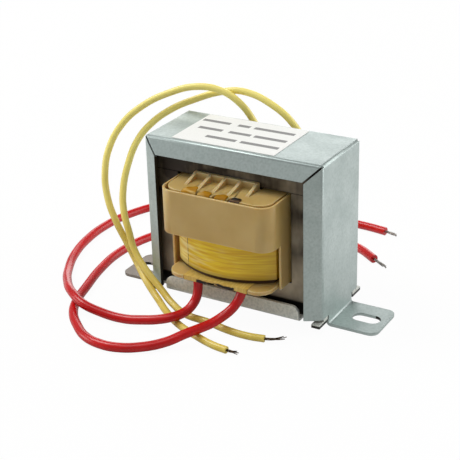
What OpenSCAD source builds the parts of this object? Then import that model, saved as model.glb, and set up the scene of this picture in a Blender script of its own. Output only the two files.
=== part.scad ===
// Chassis-mount mains transformer with a folded steel frame and four flying leads.
// Millimetres. X to the right, Y to the rear, Z up, origin under the middle of the feet.

/* [Core] */
// Width of the centre leg
centre_leg = 16; // [12:0.5:20]
// Width of each outer leg
outer_leg = 8; // [5:0.5:12]
// Width of each winding window
window_w = 8; // [7:0.5:12]
// Height of each winding window
window_h = 24; // [20:0.5:36]
// Height of each yoke
yoke_h = 8; // [7:0.5:12]
// Number of sheets in the stack
sheet_count = 38; // [20:2:60]
// Thickness of one core sheet
core_sheet = 0.48; // [0.3:0.02:0.6]
// Varnish film between two sheets
varnish = 0.02; // [0.01:0.01:0.05]
// Butt gap between an E sheet and its I sheet
butt_gap = 0.15; // [0.02:0.01:0.2]

/* [Frame] */
// Thickness of the frame's steel
frame_sheet = 0.8; // [0.6:0.1:1.2]
// Room between the core and each side of the frame
core_fit = 0.05; // [0.02:0.01:0.3]
// Inner radius of the folds at the two upper corners
corner_bend_r = 0.2; // [0.1:0.1:1]
// Flat steel past the core faces, before the lips bend
lip_clear = 0.1; // [0.05:0.05:1]
// Inner radius of the lip bends
lip_bend_r = 0.4; // [0.2:0.1:1]
// Angle that the lips are folded through
lip_fold = 61; // [45:1:80]
// Flat length of a lip after its bend
lip_flat = 3.95; // [2:0.05:5]
// Width of the mitre gap at the upper corners
mitre_gap = 0.5; // [0.2:0.1:1.5]

/* [Feet] */
// Width of a foot and its neck
foot_w = 13.4; // [9:0.2:14.4]
// Reach of a foot from the side of the frame
foot_reach = 12.6; // [11.4:0.2:20]
// Inner radius of the bend between neck and foot
foot_bend_r = 0.6; // [0.3:0.1:1]
// Corner radius at the foot's end
foot_corner_r = 2.2; // [0.5:0.1:4]
// Width of the mounting slot
slot_w = 4; // [3:0.1:6]
// Length of the mounting slot
slot_l = 7.4; // [6.2:0.1:8.2]
// Distance of the slot's middle from the side of the frame
slot_out = 7.15; // [6:0.05:7.8]

/* [Base plate] */
// Height of the plate above the mounting surface
plate_lift = 2.4; // [2.4:0.1:5]
// Thickness of the plate's steel
plate_sheet = 0.8; // [0.6:0.1:1.2]
// Inner radius of the flange bends
plate_bend_r = 0.4; // [0.2:0.1:1]
// Height of the upturned flanges
plate_flange_h = 4.2; // [3.6:0.1:6]
// Reach of the flanges from the core faces
plate_reach = 2.9; // [2.4:0.1:4]
// Gap between a flange's end and the lip beside it
plate_flange_gap = 1.5; // [0.5:0.1:4]
// Radius of the flanges' upper corners
plate_flange_r = 2; // [0.5:0.1:2.4]
// Gap between a flange's end and the corner tab
plate_relief = 3.3; // [1:0.1:4]
// Gap between the plate and the necks of the feet
neck_gap = 0.15; // [0.1:0.05:0.5]
// Gap between the corner tabs and the necks of the feet
tab_gap = 0.5; // [0.2:0.1:0.8]
// Reach of the corner tabs from the core faces
tab_reach = 2.5; // [1:0.1:3]
// Drop of the corner tabs below the plate
tab_drop = 0.8; // [0.3:0.1:1.4]

/* [Bobbin] */
// Clearance between the bobbin and the core
bobbin_fit = 0.1; // [0.1:0.05:0.4]
// Gap between the bobbin's top and the upper yoke
bobbin_room = 0.3; // [0.1:0.1:0.8]
// Wall of the bobbin's tube
bobbin_wall = 1; // [0.6:0.1:1.6]
// Thickness of the flanges
flange_t = 1; // [0.6:0.1:1.6]
// Gap between the cover and the outer legs
leg_room = 0.5; // [0.3:0.1:1.2]
// Reach of the bottom flange in front of and behind the tube
flange_reach = 9.1; // [8.4:0.1:11]
// Gap between the bottom flange and the cover's panels
flange_inset = 0.5; // [0.3:0.1:1]
// Corner radius of the flanges
flange_r = 4; // [1:0.1:4.4]
// Height of the lower winding chamber
lower_chamber = 10.8; // [6:0.2:14]
// Height of the upright walls
upright_h = 1.7; // [1:0.1:2.6]
// Thickness of the upright walls
upright_t = 1; // [0.6:0.1:1.4]
// Distance from rib to rib
bay_pitch = 4.3; // [4.2:0.1:4.7]
// Thickness of the ribs
rib_t = 0.8; // [0.5:0.1:1]
// Reach of the three inner ribs from the upright walls
rib_reach = 6.6; // [2:0.1:6.8]
// Reach of the two end ribs from the upright walls
end_rib_reach = 4.8; // [2:0.1:6.8]
// Width of the lead bays in the bottom flange
bay_w = 3.2; // [2.8:0.1:3.4]
// Start of the lead bays in the bottom flange, from the tube
bay_start = 4.7; // [3:0.1:4.8]
// Width of the lead bays in the top flange
top_bay_w = 2.6; // [2:0.1:3.2]
// Depth of the lead bays in the top flange, from its edge
top_bay_depth = 2.2; // [1.7:0.1:4]
// Shift of the top bays and ribs to the left
bay_shift = 1.4; // [0:0.1:2]
// Depth of the seat for the anchor tape
tape_seat = 0.4; // [0.3:0.1:0.8]
// Room at each end of the anchor tape in its seat
seat_room = 0.2; // [0.1:0.1:0.6]

/* [Cover] */
// Reach of the cover in front of and behind the bobbin's tube
cover_reach = 9.5; // [8.8:0.1:11]
// Wall of the cover
cover_wall = 0.6; // [0.5:0.1:1]
// Gap between the middle flange and the cover
cover_fit = 0.3; // [0.1:0.05:0.5]
// Gap between the top flange and the cover
top_flange_gap = 0.4; // [0.3:0.1:1.2]
// Drop of the cover's rim below the top flange's upper face
rim_drop = 0.1; // [0.1:0.1:0.8]
// Outer corner radius of the cover
cover_r = 3.8; // [2:0.1:5]
// Set-back of the side panels from the cover's front
panel_setback = 6; // [4:0.1:8]

/* [Windings] */
// Gap between the windings and the bobbin
winding_fit = 0.1; // [0.05:0.05:0.3]
// Gap between a winding's ends and the flanges
winding_end = 0.2; // [0.2:0.1:0.6]
// Thickness of the outer tape
tape_t = 0.5; // [0.2:0.1:0.8]
// Gap between the lower tape and the cover
lower_gap = 1; // [0.5:0.1:2]
// Gap between the upper tape and the cover
upper_gap = 1.3; // [0.8:0.1:2.5]
// Gap between the lower tape and the bottom flange
lower_margin = 1.2; // [0.4:0.1:3]
// Distance from the middle back to the centre of a winding's bulged front
bulge_back = 3; // [0:0.5:12]

/* [Anchor tape and label] */
// Thickness of the anchor tape
anchor_t = 0.15; // [0.1:0.05:0.2]
// Lap of the anchor tape on the bottom flange, behind the lead bays
anchor_lap = 0.4; // [0.2:0.1:1]
// Length of the label
label_l = 28.8; // [15:0.1:34]
// Distance of the label's middle from the frame's middle
label_shift = 3; // [0:0.1:6]
// Bare edge in front of and behind the label
label_edge = 0.2; // [0:0.1:3]
// Thickness of the label
label_t = 0.12; // [0.05:0.01:0.3]

/* [Leads] */
// Diameter of the red leads
red_d = 2.4; // [2:0.1:2.5]
// Diameter of the yellow leads
yellow_d = 1.85; // [1.4:0.05:1.9]
// Diameter of the stripped ends
strand_d = 0.8; // [0.4:0.05:1.2]
// Stripped length of the left red lead
red_left_strip = 4; // [3:0.1:8]
// Stripped length of the right red lead
red_right_strip = 6.2; // [3:0.1:8]
// Stripped length of the left yellow lead
yellow_left_strip = 3.2; // [3:0.1:8]
// Stripped length of the right yellow lead
yellow_right_strip = 6; // [3:0.1:8]

/* [Hidden] */
$fn = 48;

// Pieces that are fused reach this far into each other.
weld = 0.2;
// Cutters reach this far past what they cut.
past = 1;

// Core
core_w = centre_leg + 2 * window_w + 2 * outer_leg;
core_h = window_h + 2 * yoke_h;
sheet_pitch = core_sheet + varnish;
stack = sheet_count * sheet_pitch - varnish;
face_y = stack / 2;
core_z = plate_lift + plate_sheet;
window_z = core_z + yoke_h;

// Frame
inner_x = core_w / 2 + core_fit;
outer_x = inner_x + frame_sheet;
inner_top = core_z + core_h;
top_z = inner_top + frame_sheet;
corner_r = corner_bend_r + frame_sheet;
lip_y = face_y + lip_clear;
lip_r = lip_bend_r + frame_sheet;
lip_depth = lip_r * (1 - cos(lip_fold)) + lip_flat * sin(lip_fold);
mitre_shift = mitre_gap / sqrt(2);
foot_under_r = foot_bend_r + frame_sheet;

// Base plate
plate_y = face_y + plate_reach;
plate_r = plate_bend_r + plate_sheet;
plate_flange_x = outer_x - lip_depth - plate_flange_gap;
tab_x = plate_flange_x + plate_relief;
tab_y = foot_w / 2 + tab_gap;
tab_end = face_y + tab_reach;

// Bobbin
hole_x = centre_leg / 2 + bobbin_fit;
hole_y = face_y + bobbin_fit;
tube_x = hole_x + bobbin_wall;
tube_y = hole_y + bobbin_wall;
bobbin_z0 = window_z + bobbin_fit;
bobbin_z1 = window_z + window_h - bobbin_room;
lower_z0 = bobbin_z0 + flange_t;
lower_z1 = lower_z0 + lower_chamber;
upper_z0 = lower_z1 + flange_t;
upper_z1 = bobbin_z1 - flange_t;
cover_x = centre_leg / 2 + window_w - leg_room;
cover_y = tube_y + cover_reach;
cover_in_x = cover_x - cover_wall;
cover_in_y = cover_y - cover_wall;
bottom_x = cover_in_x - flange_inset;
bottom_y = tube_y + flange_reach;
middle_x = cover_in_x - cover_fit;
middle_y = cover_in_y - cover_fit;
top_x = cover_in_x - top_flange_gap;
top_y = cover_in_y - top_flange_gap;
bay_y = tube_y + bay_start;
top_bay_y = top_y - top_bay_depth;
upright_x = 2 * bay_pitch + rib_t / 2;
seat_x = upright_x + seat_room;

// Windings
lower_tape_x = cover_in_x - lower_gap;
lower_tape_y = cover_in_y - lower_gap;
upper_tape_x = cover_in_x - upper_gap;
upper_tape_y = cover_in_y - upper_gap;
wound_x = tube_x + winding_fit;
wound_y = tube_y + winding_fit;

// Lower edge of the anchor tape, in parts of its half length and of the flange's thickness
anchor_edge = [
    [-1, 1.1], [-0.34, 1.1], [-0.18, 0.6], [-0.03, 0.4], [0.11, 0.6], [0.23, 0.9],
    [0.46, 1.1], [0.56, 0.9], [0.75, 1], [1, 1.1],
];

// Lead routes, from the bobbin to the stripped end
red_left_route = [
    [-6.4, -17.4, 12.1], [-6.3, -17.4, 10.2], [-6.2, -17.8, 7.9], [-6.2, -18.7, 6.1], [-6.5, -20, 4.8],
    [-7, -21.7, 3.9], [-7.9, -23.6, 3.4], [-9.3, -25.6, 3.2], [-11.8, -27.3, 2.8], [-15.6, -28.6, 2.3],
    [-22, -29.3, 1.5], [-28.5, -29.8, 2.1], [-33.3, -30, 3.3], [-38.2, -27.5, 3.9], [-45.3, -20.5, 2.6],
    [-51, -12.5, 1.4], [-55.2, -4, 1.25], [-58, 6.5, 1.25], [-58.6, 16, 1.25], [-57.2, 25, 1.25],
    [-52, 36, 1.25], [-43.5, 44.5, 1.25], [-32, 49, 1.25], [-16, 50.8, 1.25], [4, 49.8, 1.25],
    [11, 49.4, 1.25], [16, 48.7, 1.25],
];
red_right_route = [
    [6.4, -17.4, 12.1], [6.4, -17.4, 10.8], [6.1, -17.8, 9.2], [5.5, -18.7, 7.5], [4.5, -20.2, 5.9],
    [3.1, -22.2, 4.6], [1.8, -24.4, 3.8], [0.3, -27, 3.4], [-1.9, -30.6, 3], [-5.3, -35, 1.9],
    [-10, -39, 1.35], [-15, -41.5, 1.25], [-19.6, -42, 1.25], [-24.6, -40.8, 1.25], [-30.1, -37, 1.25],
    [-35, -32, 1.25], [-38, -26.6, 1.25], [-40.6, -18.5, 1.25], [-43.4, -8, 1.25], [-44.6, 3, 1.25],
    [-42.6, 14.8, 1.25], [-37, 25, 1.25], [-27, 33.5, 1.25], [-14, 38, 1.25], [1, 38.6, 1.25],
    [13.7, 35.2, 1.25], [20.4, 30.8, 1.25],
];
yellow_left_route = [
    [-7.8, 18.3, 34], [-7.9, 18.2, 37.4], [-9.2, 16.9, 41.8], [-12, 15, 46.5], [-16.4, 13.8, 49.3],
    [-22.7, 12.4, 50], [-30, 10.2, 48], [-37.2, 6.5, 44], [-41.2, 3, 39.6], [-43.2, -0.5, 34],
    [-42.9, -3.6, 28.4], [-40.8, -6.2, 22.4], [-37.2, -8.2, 17], [-33.6, -8.8, 11.6], [-30.4, -9.5, 7],
    [-24.9, -13.3, 4.1], [-19.2, -16.5, 1.4], [-14, -20.6, 1], [-8, -24.6, 1], [-0.5, -27.8, 1],
    [5.2, -29.6, 1], [9, -30.1, 1],
];
yellow_right_route = [
    [5, 18.3, 34], [4.8, 18.4, 37.4], [2.7, 17.8, 41.6], [-3.8, 17.2, 46.6], [-11.2, 17, 48.8],
    [-16, 16.2, 48.6], [-25.2, 13.4, 45.6], [-30.8, 10.5, 42.8], [-34.6, 7.5, 39.6], [-37, 4.3, 35.8],
    [-37.8, 0, 30], [-37, -4.2, 24], [-35, -7.2, 19.4], [-32.4, -9.2, 15.2], [-30.2, -10.5, 11.1],
    [-25.7, -12.5, 7.3], [-19.8, -14.2, 3.3], [-15, -16.4, 1.3], [-9, -19.4, 1], [-2, -20.2, 1],
    [5, -21.6, 1], [10.5, -21.8, 1], [14.5, -21.1, 1],
];
// Sides of a lead's tube
lead_sides = 8;

// Flat shapes

// Rectangle of half sizes x and y with rounded corners.
module rounded(x, y, r) {
    square([2 * x, 2 * (y - r)], center = true);
    square([2 * (x - r), 2 * y], center = true);
    for (sx = [-1, 1], sy = [-1, 1]) {
        translate([sx * (x - r), sy * (y - r)]) circle(r);
    }
}

// Upright rectangle from the base line to a top with two rounded corners.
module arch(x, z0, z1, r) {
    translate([-x, z0]) square([2 * x, z1 - r - z0]);
    translate([-(x - r), z0]) square([2 * (x - r), z1 - z0]);
    for (side = [-1, 1]) {
        translate([side * (x - r), z1 - r]) circle(r);
    }
}

// A quarter of a ring, in the quadrant where both coordinates are positive.
module quarter_ring(r_in, r_out) {
    intersection() {
        difference() {
            circle(r_out);
            circle(r_in);
        }
        square(r_out + past);
    }
}

// Both sides of the XZ plane, or both sides of the YZ plane.
module front_and_rear() {
    children();
    mirror([0, 1, 0]) children();
}

module left_and_right() {
    children();
    mirror([1, 0, 0]) children();
}

// Stands a flat shape drawn in X and Z upright and gives it a depth along Y, from y0 to y1.
module stand(y0, y1) {
    translate([0, y1, 0]) rotate([90, 0, 0]) linear_extrude(y1 - y0) children();
}

// Frame

// Section of a lip: its bend and its flat, beside the edge of a wall whose outer face is the axis.
module lip_section() {
    reach = 2 * lip_r;
    translate([0, -lip_r]) {
        intersection() {
            difference() {
                circle(lip_r);
                circle(lip_bend_r);
            }
            polygon([
                [0, 0], [0, reach],
                [reach * sin(lip_fold / 2), reach * cos(lip_fold / 2)],
                [reach * sin(lip_fold), reach * cos(lip_fold)],
            ]);
        }
        rotate(-lip_fold) translate([0, lip_bend_r]) square([lip_flat, frame_sheet]);
    }
    translate([-weld, -frame_sheet]) square([weld, frame_sheet]);
}

module top_lip() {
    intersection() {
        translate([-outer_x, lip_y, top_z]) rotate([90, 0, 90]) linear_extrude(2 * outer_x) lip_section();
        stand(0, lip_y + lip_r + lip_flat) polygon([
            [-(outer_x - mitre_shift + past), top_z + past],
            [outer_x - mitre_shift + past, top_z + past],
            [0, top_z - outer_x + mitre_shift],
        ]);
    }
}

module left_lip() {
    intersection() {
        translate([-outer_x, lip_y, core_z]) rotate([0, 0, 90]) linear_extrude(top_z - core_z) lip_section();
        stand(0, lip_y + lip_r + lip_flat) polygon([
            [-(outer_x + past), core_z],
            [-(outer_x + past), top_z + past - mitre_shift],
            [-(outer_x - 2 * lip_depth), top_z - mitre_shift - 2 * lip_depth],
            [-(outer_x - 2 * lip_depth), core_z],
        ]);
    }
}

module lips() {
    intersection() {
        stand(0, lip_y + lip_r + lip_flat) arch(outer_x, core_z, top_z, corner_r);
        union() {
            top_lip();
            left_and_right() left_lip();
        }
    }
}

// Neck, bend and slotted plate of the right foot.
module foot() {
    stand(-foot_w / 2, foot_w / 2) {
        translate([inner_x, foot_under_r]) square([frame_sheet, core_z + past - foot_under_r]);
        translate([outer_x + foot_bend_r, foot_under_r]) rotate(180) quarter_ring(foot_bend_r, foot_under_r);
    }
    linear_extrude(frame_sheet) difference() {
        union() {
            translate([outer_x + foot_bend_r, -foot_w / 2]) {
                square([foot_reach - foot_bend_r - foot_corner_r, foot_w]);
            }
            translate([outer_x + foot_bend_r, -(foot_w / 2 - foot_corner_r)]) {
                square([foot_reach - foot_bend_r, foot_w - 2 * foot_corner_r]);
            }
            for (side = [-1, 1]) {
                translate([outer_x + foot_reach - foot_corner_r, side * (foot_w / 2 - foot_corner_r)]) {
                    circle(foot_corner_r);
                }
            }
        }
        translate([outer_x + slot_out, 0]) {
            square([slot_l - slot_w, slot_w], center = true);
            for (side = [-1, 1]) {
                translate([side * (slot_l - slot_w) / 2, 0]) circle(slot_w / 2);
            }
        }
    }
}

module frame() {
    color("silver") {
        stand(-lip_y, lip_y) difference() {
            arch(outer_x, core_z, top_z, corner_r);
            arch(inner_x, core_z - past, inner_top, corner_bend_r);
        }
        front_and_rear() lips();
        left_and_right() foot();
    }
}

// Base plate

// Upturned rear flange with its bend.
module plate_flange() {
    intersection() {
        translate([-plate_flange_x, plate_y, plate_lift]) rotate([90, 0, 90]) {
            linear_extrude(2 * plate_flange_x) {
                translate([-plate_r, plate_r]) rotate(-90) quarter_ring(plate_bend_r, plate_r);
                translate([-plate_sheet, plate_r]) square([plate_sheet, plate_flange_h - plate_r]);
                translate([-plate_r - weld, 0]) square([weld, plate_sheet]);
            }
        }
        stand(0, plate_y + past) {
            arch(plate_flange_x, plate_lift - past, plate_lift + plate_flange_h, plate_flange_r);
        }
    }
}

module base_plate() {
    color("silver") {
        translate([0, 0, plate_lift]) linear_extrude(plate_sheet) {
            square([2 * (inner_x - neck_gap), 2 * tab_y], center = true);
            square([2 * plate_flange_x, 2 * (plate_y - plate_r)], center = true);
            difference() {
                square([2 * outer_x, 2 * face_y], center = true);
                square([2 * (outer_x + past), 2 * tab_y], center = true);
            }
        }
        front_and_rear() {
            plate_flange();
            left_and_right() translate([tab_x, tab_y, plate_lift - tab_drop]) {
                cube([outer_x - tab_x, tab_end - tab_y, tab_drop + weld]);
            }
        }
    }
}

// Core

// Bar across the core with its two outer corners blunted to clear the folds of the frame.
module yoke(h) {
    polygon([
        [-core_w / 2 + corner_bend_r, 0], [core_w / 2 - corner_bend_r, 0], [core_w / 2, corner_bend_r],
        [core_w / 2, h], [-core_w / 2, h], [-core_w / 2, corner_bend_r],
    ]);
}

// E sheet with its yoke at the bottom, drawn in X and Z.
module e_shape() {
    translate([0, core_z]) yoke(yoke_h);
    translate([-centre_leg / 2, window_z - weld]) square([centre_leg, window_h + weld]);
    for (side = [-1, 1]) {
        translate([side * (core_w - outer_leg) / 2 - outer_leg / 2, window_z - weld]) {
            square([outer_leg, window_h + weld]);
        }
    }
}

// I sheet that closes the E sheet at the top.
module i_shape() {
    translate([0, inner_top]) mirror([0, 1]) yoke(yoke_h - butt_gap);
}

// Places a sheet at its layer, upside down in every second layer.
module layer(number) {
    y = -face_y + number * sheet_pitch;
    if (number % 2 == 0) {
        stand(y, y + core_sheet) children();
    } else {
        translate([0, 0, 2 * core_z + core_h]) mirror([0, 0, 1]) stand(y, y + core_sheet) children();
    }
}

module outer_e_sheets() {
    color("dimgray") for (number = [0, sheet_count - 1]) {
        layer(number) e_shape();
    }
}

module outer_i_sheets() {
    color("gray") for (number = [0, sheet_count - 1]) {
        layer(number) i_shape();
    }
}

module inner_e_sheets() {
    color("dimgray") for (number = [1 : sheet_count - 2]) {
        layer(number) e_shape();
    }
}

module inner_i_sheets() {
    color("gray") for (number = [1 : sheet_count - 2]) {
        layer(number) i_shape();
    }
}

// Bobbin

// Bays of width w for the leads, from the distance y to past a flange's front and rear edge.
module bays(y, edge, w) {
    for (place = [-1.5, -0.5, 0.5, 1.5], side = [-1, 1]) {
        translate([place * bay_pitch, side * (y + w / 2)]) circle(w / 2);
        translate([place * bay_pitch - w / 2, side > 0 ? y + w / 2 : -edge - past]) {
            square([w, edge + past - y - w / 2]);
        }
    }
}

// Upright wall at the rear with its ribs, standing on the flange at the given height.
module upright(z) {
    translate([-upright_x, hole_y, z - weld]) cube([2 * upright_x, upright_t, upright_h + weld]);
    for (place = [-2 : 2]) {
        reach = abs(place) == 2 ? end_rib_reach : rib_reach;
        translate([place * bay_pitch - rib_t / 2, hole_y + upright_t, z]) rotate([90, 0, 90]) {
            linear_extrude(rib_t) polygon([
                [-weld, -weld], [reach, -weld], [reach, 0], [0, upright_h], [-weld, upright_h],
            ]);
        }
    }
}

module bobbin() {
    color("wheat") difference() {
        union() {
            translate([-tube_x, -tube_y, bobbin_z0]) cube([2 * tube_x, 2 * tube_y, bobbin_z1 - bobbin_z0]);
            translate([0, 0, bobbin_z0]) linear_extrude(flange_t) difference() {
                rounded(bottom_x, bottom_y, flange_r);
                bays(bay_y, bottom_y, bay_w);
                for (side = [-1, 1]) {
                    translate([0, side * bottom_y]) square([2 * seat_x, 2 * tape_seat], center = true);
                }
            }
            translate([0, 0, lower_z1]) linear_extrude(flange_t) rounded(middle_x, middle_y, flange_r);
            translate([0, 0, upper_z1]) linear_extrude(flange_t) difference() {
                rounded(top_x, top_y, flange_r);
                translate([-bay_shift, 0]) bays(top_bay_y, top_y, top_bay_w);
            }
            front_and_rear() {
                translate([-bay_shift, 0, 0]) upright(bobbin_z1);
                translate([0, 0, bobbin_z0]) mirror([0, 0, 1]) upright(0);
            }
        }
        translate([-hole_x, -hole_y, bobbin_z0 - upright_h - past]) {
            cube([2 * hole_x, 2 * hole_y, bobbin_z1 - bobbin_z0 + 2 * (upright_h + past)]);
        }
    }
}

// Cover: a sleeve round the upper chamber and a panel down each side, past the bottom flange.
module cover() {
    color("tan") {
        translate([0, 0, lower_z1]) linear_extrude(bobbin_z1 - rim_drop - lower_z1) difference() {
            rounded(cover_x, cover_y, cover_r);
            rounded(cover_in_x, cover_in_y, cover_r - cover_wall);
        }
        left_and_right() translate([cover_in_x, -(cover_y - panel_setback), bobbin_z0]) {
            cube([cover_wall, 2 * (cover_y - panel_setback), lower_z1 - bobbin_z0 + weld]);
        }
    }
}

// Windings

// Outline of a winding: flat sides, and a front and rear that bulge to the reach y.
module bulged(x, y) {
    intersection() {
        translate([0, bulge_back]) circle(y + bulge_back);
        translate([0, -bulge_back]) circle(y + bulge_back);
        square([2 * x, 2 * y], center = true);
    }
}

// Copper from the tube to the inside of the tape.
module copper(z0, z1, x, y) {
    color("orange") translate([0, 0, z0]) linear_extrude(z1 - z0) difference() {
        bulged(x - tape_t, y - tape_t);
        square([2 * wound_x, 2 * wound_y], center = true);
    }
}

// Tape round the copper.
module tape(z0, z1, x, y) {
    color("gold") translate([0, 0, z0]) linear_extrude(z1 - z0) difference() {
        bulged(x, y);
        bulged(x - tape_t, y - tape_t);
    }
}

module primary_winding() {
    copper(lower_z0 + winding_end, lower_z1 - winding_end, lower_tape_x, lower_tape_y);
}

module primary_tape() {
    tape(lower_z0 + lower_margin, lower_z1 - winding_end, lower_tape_x, lower_tape_y);
}

module secondary_winding() {
    copper(upper_z0 + winding_end, upper_z1 - winding_end, upper_tape_x, upper_tape_y);
}

module secondary_tape() {
    tape(upper_z0 + winding_end, upper_z1 - winding_end, upper_tape_x, upper_tape_y);
}

// Tape folded over the front edge of the bottom flange, with a wavy lower edge.
module anchor_tape() {
    front = [for (point = anchor_edge) [point[0] * upright_x, lower_z0 - point[1] * flange_t]];
    color("khaki") {
        stand(-bottom_y, -(bottom_y - anchor_t)) polygon(concat(
            [[upright_x, lower_z0 + anchor_t], [-upright_x, lower_z0 + anchor_t]], front
        ));
        translate([-upright_x, -bottom_y, lower_z0]) {
            cube([2 * upright_x, bottom_y - bay_y + anchor_lap, anchor_t]);
        }
    }
}

module label() {
    color("white") translate([-label_shift - label_l / 2, -(lip_y - label_edge), top_z]) {
        cube([label_l, 2 * (lip_y - label_edge), label_t]);
    }
}

// Leads

function unit(v) = v / norm(v);

// Direction of the route at a point, along its neighbours.
function heading(route, i) = unit(route[min(i + 1, len(route) - 1)] - route[max(i - 1, 0)]);

// A direction across the route, carried from point to point without twist.
function across(route, i) =
    let (along = heading(route, i), last = i == 0 ? [1, 0, 0] : across(route, i - 1))
    unit(last - (last * along) * along);

function ring(route, r, i) =
    let (a = across(route, i), b = cross(heading(route, i), a))
    [for (k = [0 : lead_sides - 1]) route[i] + r * (cos(360 * k / lead_sides) * a + sin(360 * k / lead_sides) * b)];

module lead(route, d) {
    rings = len(route);
    polyhedron(
        points = [for (i = [0 : rings - 1]) each ring(route, d / 2, i)],
        faces = concat(
            [[for (k = [0 : lead_sides - 1]) k]],
            [for (i = [0 : rings - 2], k = [0 : lead_sides - 1]) each
                let (a = i * lead_sides + k, b = i * lead_sides + (k + 1) % lead_sides)
                [[a, a + lead_sides, b], [b, a + lead_sides, b + lead_sides]]],
            [[for (k = [lead_sides - 1 : -1 : 0]) (rings - 1) * lead_sides + k]]
        )
    );
}

// Stripped conductor, straight on from the end of a route.
module strands(route, l) {
    way = heading(route, len(route) - 1);
    translate(route[len(route) - 1]) rotate([0, acos(way[2]), atan2(way[1], way[0])]) cylinder(h = l, d = strand_d);
}

module red_left_lead() {
    color("red") lead(red_left_route, red_d);
}

module red_right_lead() {
    color("red") lead(red_right_route, red_d);
}

module yellow_left_lead() {
    color("yellow") lead(yellow_left_route, yellow_d);
}

module yellow_right_lead() {
    color("yellow") lead(yellow_right_route, yellow_d);
}

module red_left_strands() {
    color("gray") strands(red_left_route, red_left_strip);
}

module red_right_strands() {
    color("gray") strands(red_right_route, red_right_strip);
}

module yellow_left_strands() {
    color("gray") strands(yellow_left_route, yellow_left_strip);
}

module yellow_right_strands() {
    color("gray") strands(yellow_right_route, yellow_right_strip);
}

frame();
base_plate();
outer_e_sheets();
outer_i_sheets();
inner_e_sheets();
inner_i_sheets();
bobbin();
cover();
primary_winding();
primary_tape();
secondary_winding();
secondary_tape();
anchor_tape();
label();
red_left_lead();
red_right_lead();
yellow_left_lead();
yellow_right_lead();
red_left_strands();
red_right_strands();
yellow_left_strands();
yellow_right_strands();
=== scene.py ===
"""Looks of a chassis-mount transformer: steel frame, laminated core, moulded bobbin and flying leads."""

import math

import bpy
from mathutils import Matrix, Vector


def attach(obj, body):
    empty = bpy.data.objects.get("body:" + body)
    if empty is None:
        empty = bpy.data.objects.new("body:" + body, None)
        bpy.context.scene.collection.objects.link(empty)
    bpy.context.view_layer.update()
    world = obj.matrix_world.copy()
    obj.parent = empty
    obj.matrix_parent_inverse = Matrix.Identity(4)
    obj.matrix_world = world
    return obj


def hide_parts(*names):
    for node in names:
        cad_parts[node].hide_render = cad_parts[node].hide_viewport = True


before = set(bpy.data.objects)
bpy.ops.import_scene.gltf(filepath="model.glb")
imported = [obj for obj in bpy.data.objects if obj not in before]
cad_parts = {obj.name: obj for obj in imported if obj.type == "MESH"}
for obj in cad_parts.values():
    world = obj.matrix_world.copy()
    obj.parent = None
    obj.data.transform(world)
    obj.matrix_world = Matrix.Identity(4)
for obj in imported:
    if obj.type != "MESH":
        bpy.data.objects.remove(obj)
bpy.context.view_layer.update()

MM = 0.001
# Most values of a noise texture lie between these two.
NOISE_RANGE = {"From Min": 0.3, "From Max": 0.7}


def linear(code):
    """sRGB hex colour as linear red, green, blue and alpha."""
    parts = [int(code[i : i + 2], 16) / 255 for i in (1, 3, 5)]
    return [c / 12.92 if c <= 0.04045 else ((c + 0.055) / 1.055) ** 2.4 for c in parts] + [1]


def add(tree, kind, inputs=None, **settings):
    """Adds a node, sets it up and links it: an input is a constant or another node's output."""
    made = tree.nodes.new(kind)
    for name, value in settings.items():
        setattr(made, name, value)
    for name, value in (inputs or {}).items():
        if isinstance(value, bpy.types.NodeSocket):
            tree.links.new(value, made.inputs[name])
        else:
            made.inputs[name].default_value = value
    return made


def new_material(name):
    """Material with an empty node tree."""
    made = bpy.data.materials.new(name)
    made.use_nodes = True
    made.node_tree.nodes.clear()
    return made, made.node_tree


# Materials


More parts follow.
